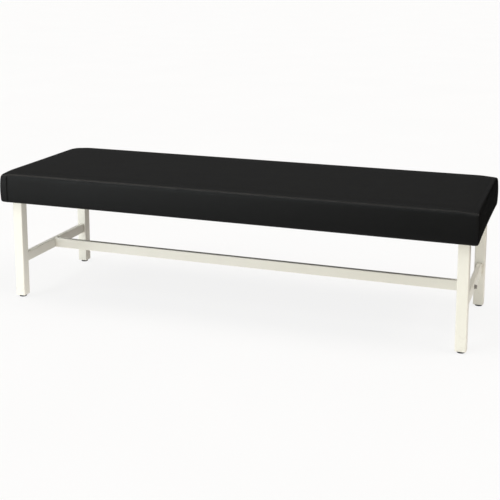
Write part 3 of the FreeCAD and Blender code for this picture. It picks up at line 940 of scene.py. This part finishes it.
def make_welds():
    """Rippled fillet welds: round each end of the end rails, and under the top bars."""
    low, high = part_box("end_rail_left")
    line, length = section_outline(high.x - low.x, high.z - low.z, RAIL_CORNER)
    ring = ripple_run(length)
    modify(ring, "CURVE", object=line, deform_axis="POS_X")
    discard(line)
    tidy_mesh(ring, WELD_RADIUS / 10)
    rings = []
    for end in ENDS:
        rail_low, rail_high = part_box(f"end_rail_{end}")
        centre = (rail_low + rail_high) / 2
        for face in (rail_low.y, rail_high.y):
            rings.append(copy_of(ring, (centre.x, face, centre.z)))
    discard(ring)
    rail_welds = joined("rail_welds", rings)

    runs = []
    for corner, (_, side) in CORNERS.items():
        leg_low, leg_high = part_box(f"leg_{corner}")
        face = leg_low.y if side > 0 else leg_high.y
        run = ripple_run(leg_high.x - leg_low.x - 2 * RAIL_CORNER)
        with shaping(run):
            pick(run, "EDGE", lambda edge: edge.is_boundary)
            bpy.ops.mesh.fill()
        tidy_mesh(run)
        run.location = (leg_low.x + RAIL_CORNER, face, leg_high.z)
        runs.append(run)
    bar_welds = joined("top_bar_welds", runs)
    return rail_welds, bar_welds


# Levelling feet


def make_foot(corner):
    """A round plastic foot with a chamfered sole and grips round its rim."""
    low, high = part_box(f"foot_{corner}")
    radius = (high.x - low.x) / 2
    centre = (low + high) / 2
    rings = (
        (radius, low.z + FOOT_CHAMFER),
        (radius, low.z + FOOT_SHOULDER),
        (radius * (1 + FOOT_TOP_SHARE) / 2, (low.z + FOOT_SHOULDER + high.z) / 2 + FOOT_DOME),
        (radius * FOOT_TOP_SHARE, high.z),
    )
    size = radius - FOOT_CHAMFER
    height = low.z
    bpy.ops.mesh.primitive_circle_add(
        vertices=FOOT_SIDES, radius=size, fill_type="NGON", location=(centre.x, centre.y, low.z)
    )
    foot = settle(fresh(f"foot_glide_{corner}"))
    with shaping(foot):
        bpy.ops.mesh.select_mode(type="FACE")
        for next_size, next_height in rings:
            extrude((0, 0, next_height - height))
            grow((next_size / size, next_size / size, 1), (centre.x, centre.y, next_height))
            size, height = next_size, next_height

        def in_grip(face):
            middle_point = face.calc_center_median()
            if not low.z + FOOT_CHAMFER < middle_point.z < low.z + FOOT_SHOULDER:
                return False
            turn = math.atan2(middle_point.y - centre.y, middle_point.x - centre.x) % FULL_TURN
            return int(turn / FULL_TURN * FOOT_SIDES) % FOOT_GRIP_GROUP == 0

        pick(foot, "FACE", in_grip)
        bpy.ops.mesh.inset(thickness=FOOT_GRIP_RIM, use_individual=True)
        bpy.ops.mesh.extrude_region_shrink_fatten(
            TRANSFORM_OT_shrink_fatten={"value": -FOOT_GRIP_DEPTH}
        )
    tidy_mesh(foot)
    smooth(foot)
    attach(foot, f"foot_{corner}")
    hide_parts(f"foot_{corner}")
    return foot


def make_stud(corner):
    """The foot's threaded stud."""
    low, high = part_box(f"foot_stud_{corner}")
    _, foot_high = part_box(f"foot_{corner}")
    centre = (low + high) / 2
    turns = math.floor((high.z - foot_high.z) / THREAD_PITCH) + STUD_TURNS_IN_FOOT
    bpy.ops.mesh.primitive_plane_add(size=1)
    stud = fresh(f"threaded_stud_{corner}")
    with shaping(stud):
        pick(stud, "VERT", lambda vertex: vertex.co.x < 0)
        bpy.ops.mesh.delete(type="VERT")
        bpy.ops.mesh.select_all(action="SELECT")
        bpy.ops.mesh.subdivide(number_cuts=1)
        mesh = bmesh.from_edit_mesh(stud.data)
        for vertex in mesh.verts:
            crest = abs(vertex.co.y) < SAME_PLACE
            radius = STUD_RADIUS if crest else STUD_RADIUS - THREAD_DEPTH
            vertex.co = Vector((radius, 0, vertex.co.y * THREAD_PITCH))
        bmesh.update_edit_mesh(stud.data)
    modify(
        stud,
        "SCREW",
        angle=FULL_TURN,
        screw_offset=THREAD_PITCH,
        iterations=turns,
        steps=THREAD_STEPS,
        render_steps=THREAD_STEPS,
        use_merge_vertices=True,
        merge_threshold=MERGE_WITHIN,
    )
    with shaping(stud):
        bpy.ops.mesh.remove_doubles(threshold=MERGE_WITHIN)
        pick(stud, "EDGE", lambda edge: edge.is_boundary)
        bpy.ops.mesh.fill()
    tidy_mesh(stud)
    stud.location = (centre.x, centre.y, high.z - turns * THREAD_PITCH - THREAD_PITCH / 2)
    settle(stud)
    smooth(stud)
    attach(stud, f"stud_{corner}")
    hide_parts(f"foot_stud_{corner}")
    return stud


# Finishes of the solids


def cover_solid(name, finish):
    """Gives a solid that stays in view its finish."""
    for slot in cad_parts[name].material_slots:
        slot.material = finish


def section_of(name, letters):
    """Cross axes of a bar with their middle and half size, taken on the positive side."""
    low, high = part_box(name)
    section = []
    for letter in letters:
        index = "XYZ".index(letter)
        centre = (low[index] + high[index]) / 2
        section.append((letter, abs(centre), (high[index] - low[index]) / 2))
    return section


def finish_solids():
    """Paint, plating, wood and plastic on the solids that show as they are."""
    leg_paint = ivory_paint("ivory_paint_legs", section_of("leg_front_right", "XY"))
    rail_paint = ivory_paint("ivory_paint_rails", section_of("end_rail_right", "XZ"))
    stretcher_paint = ivory_paint("ivory_paint_stretcher", section_of("stretcher", "YZ"))
    bar_paint = ivory_paint("ivory_paint_bars", section_of("top_bar_right", "XZ"))
    plated = plated_steel()
    dulled = dulled_steel()
    plug = moulded_plastic("plug_plastic", (0.030, 0.031, 0.033, 1), (0.055, 0.056, 0.058, 1))
    pine_long = sawn_pine("pine_along_couch", (0.05, 1.0, 1.0))
    pine_cross = sawn_pine("pine_across_couch", (1.0, 0.05, 1.0))
    cover_solid("stretcher", stretcher_paint)
    cover_solid("deck_board", birch_ply())
    for name in ("side_timber_front", "side_timber_rear"):
        cover_solid(name, pine_long)
    for name in ("end_timber_left", "end_timber_right", "cross_timber_left", "cross_timber_middle",
                 "cross_timber_right", "bearer_left", "bearer_right"):
        cover_solid(name, pine_cross)
    for name in ("timber_screws", "tee_nuts", "cushion_bolts", "cushion_spring_washers", "cushion_washers",
                 "foot_nuts", "nut_plate_left", "nut_plate_right", "rail_bush_left", "rail_bush_right"):
        cover_solid(name, plated)
    for name in ("stretcher_bolts", "stretcher_spring_washers", "stretcher_washers"):
        cover_solid(name, dulled)
    for end in ENDS:
        cover_solid(f"end_rail_{end}", rail_paint)
        cover_solid(f"top_bar_{end}", bar_paint)
    for corner in CORNERS:
        cover_solid(f"leg_{corner}", leg_paint)
        cover_solid(f"foot_plug_{corner}", plug)
    stained = weld_paint()
    for welds in make_welds():
        wear(smooth(welds, WELD_SMOOTH_DEGREES), stained)
        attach(welds, "table")


def make_feet():
    """Feet and studs, each on its own body."""
    glide = moulded_plastic("foot_plastic", (0.030, 0.033, 0.040, 1), (0.070, 0.075, 0.085, 1))
    plated = plated_steel()
    for corner in CORNERS:
        wear(make_foot(corner), glide)
        wear(make_stud(corner), plated)


# Camera, floor, light and room


def make_camera():
    """The photograph's view."""
    data = bpy.data.cameras.new("camera")
    data.lens = CAMERA_LENS_MM
    data.sensor_width = CAMERA_SENSOR_MM
    data.shift_y = CAMERA_SHIFT
    data.clip_end = CAMERA_FAR
    camera = bpy.data.objects.new("camera", data)
    bpy.context.scene.collection.objects.link(camera)
    look = Vector((
        -math.sin(CAMERA_YAW) * math.cos(CAMERA_PITCH),
        math.cos(CAMERA_YAW) * math.cos(CAMERA_PITCH),
        -math.sin(CAMERA_PITCH),
    ))
    camera.location = CAMERA_PLACE
    camera.rotation_euler = look.to_track_quat("-Z", "Y").to_euler()
    bpy.context.scene.camera = camera


def make_floor():
    """A wide pale floor, lit from within as a light table.

    Reflections see it dim, and black on the right. It sends up less light under and behind the couch.
    """
    bpy.ops.mesh.primitive_plane_add(size=FLOOR_SPAN, location=(0, 0, 0))
    floor = fresh("floor")
    finish = Finish("pale_floor", Specular_IOR_Level=0.0, Emission_Strength=1.0)
    along = finish.axis("X")
    cloud = finish.noise(FLOOR_CLOUD, detail=2.0)
    reflected = finish.node("ShaderNodeLightPath", out="Is Glossy Ray")
    bounced = finish.node("ShaderNodeLightPath", out="Is Diffuse Ray")
    far = finish.step(finish.node("ShaderNodeLightPath", out="Ray Length"), *MIRROR_REACH)
    card = finish.mix(finish.step(along, *CARD_SPAN), grey(FLOOR_CARD), grey(0.0))
    mirrored = finish.mix(far, grey(FLOOR_NEAR), card)
    pale = finish.mix(cloud, grey(FLOOR_COLOUR), grey(FLOOR_CLOUD_COLOUR))
    colour = finish.mix(reflected, pale, grey(0.0))
    beside = finish.step(abs(along), *SHADE_BESIDE)
    before = finish.step(0 - finish.axis("Y"), *SHADE_BEFORE)
    open_floor = finish.mix(finish.step(along, *OPEN_SPAN), FLOOR_LEFT, FLOOR_RIGHT)
    bounce = finish.mix(finish.maths("MAXIMUM", beside, before), FLOOR_SHADE, open_floor)
    glow = finish.mix(reflected, finish.mix(bounced, grey(FLOOR_SEEN), bounce), mirrored)
    wear(floor, finish.done(Base_Color=colour, Emission_Color=glow, Roughness=0.75 + cloud * 0.1))


def add_lamp(data, azimuth, elevation, tint):
    """Places a lamp that faces the couch. Azimuth 0 is in front and turns to the right, in degrees."""
    data.color = tint
    lamp = bpy.data.objects.new(data.name, data)
    bpy.context.scene.collection.objects.link(lamp)
    turn = math.radians(azimuth)
    rise = math.radians(elevation)
    source = Vector((
        math.sin(turn) * math.cos(rise),
        -math.cos(turn) * math.cos(rise),
        math.sin(rise),
    ))
    lamp.rotation_euler = (-source).to_track_quat("-Z", "Y").to_euler()
    return lamp, source


def soft_sun(name, azimuth, elevation, strength, spread, tint=LAMP_TINT):
    """A wide, far light."""
    data = bpy.data.lights.new(name, "SUN")
    data.energy = strength
    data.angle = math.radians(spread)
    add_lamp(data, azimuth, elevation, tint)


def soft_box(name, azimuth, distance, wide, high, power):
    """A wide light that stands on the floor, lower than the cushion's top."""
    data = bpy.data.lights.new(name, "AREA")
    data.shape = "RECTANGLE"
    data.size = wide
    data.size_y = high
    data.energy = power
    box, source = add_lamp(data, azimuth, 0, LAMP_TINT)
    box.location = source * distance + Vector((0, 0, high / 2 + BOX_FOOT))
    box.visible_camera = False


def make_light():
    """Soft studio light from the front left, from above, from both ends and a little from behind."""
    soft_sun("key_light", azimuth=-38, elevation=50, strength=0.45, spread=14)
    soft_sun("top_light", azimuth=0, elevation=80, strength=0.25, spread=70)
    soft_box("front_light", azimuth=-31, distance=4.5, wide=3.0, high=0.44, power=44)
    soft_sun("rim_light", azimuth=-36, elevation=26, strength=0.5, spread=38)
    soft_sun("back_light", azimuth=-152, elevation=54, strength=0.16, spread=50)
    soft_sun("right_light", azimuth=92, elevation=60, strength=1.3, spread=30, tint=END_LAMP_TINT)
    soft_sun("left_light", azimuth=-82, elevation=60, strength=0.8, spread=30, tint=END_LAMP_TINT)


def make_room():
    """The pale room: white behind the couch, warm on it, and dim in reflections, most so on the right."""
    world = bpy.data.worlds.new("pale_room")
    bpy.context.scene.world = world
    world.use_nodes = True
    tree = world.node_tree
    path = tree.nodes.new("ShaderNodeLightPath")
    way = tree.nodes.new("ShaderNodeTexCoord")
    parts = tree.nodes.new("ShaderNodeSeparateXYZ")
    dimming = tree.nodes.new("ShaderNodeMapRange")
    tree.links.new(way.outputs["Generated"], parts.inputs[0])
    tree.links.new(parts.outputs["X"], dimming.inputs["Value"])
    for socket, value in ROOM_IN_REFLECTIONS.items():
        dimming.inputs[socket].default_value = value
    surface = tree.nodes["Background"]
    surface.inputs["Color"].default_value = ROOM_TINT
    surface.inputs["Strength"].default_value = ROOM_STRENGTH
    mirrored = tree.nodes.new("ShaderNodeBackground")
    mirrored.inputs["Color"].default_value = grey(1.0)
    tree.links.new(dimming.outputs[0], mirrored.inputs["Strength"])
    backdrop = tree.nodes.new("ShaderNodeBackground")
    backdrop.inputs["Color"].default_value = grey(1.0)
    backdrop.inputs["Strength"].default_value = BACKDROP_STRENGTH
    for ray, seen in (("Is Glossy Ray", mirrored), ("Is Camera Ray", backdrop)):
        choice = tree.nodes.new("ShaderNodeMixShader")
        tree.links.new(path.outputs[ray], choice.inputs[0])
        tree.links.new(surface.outputs[0], choice.inputs[1])
        tree.links.new(seen.outputs[0], choice.inputs[2])
        surface = choice
    tree.links.new(surface.outputs[0], tree.nodes["World Output"].inputs["Surface"])
    bpy.context.scene.view_settings.view_transform = "Standard"


make_camera()
make_floor()
make_light()
make_room()
make_dust_cloth(make_cushion())
finish_solids()
make_feet()
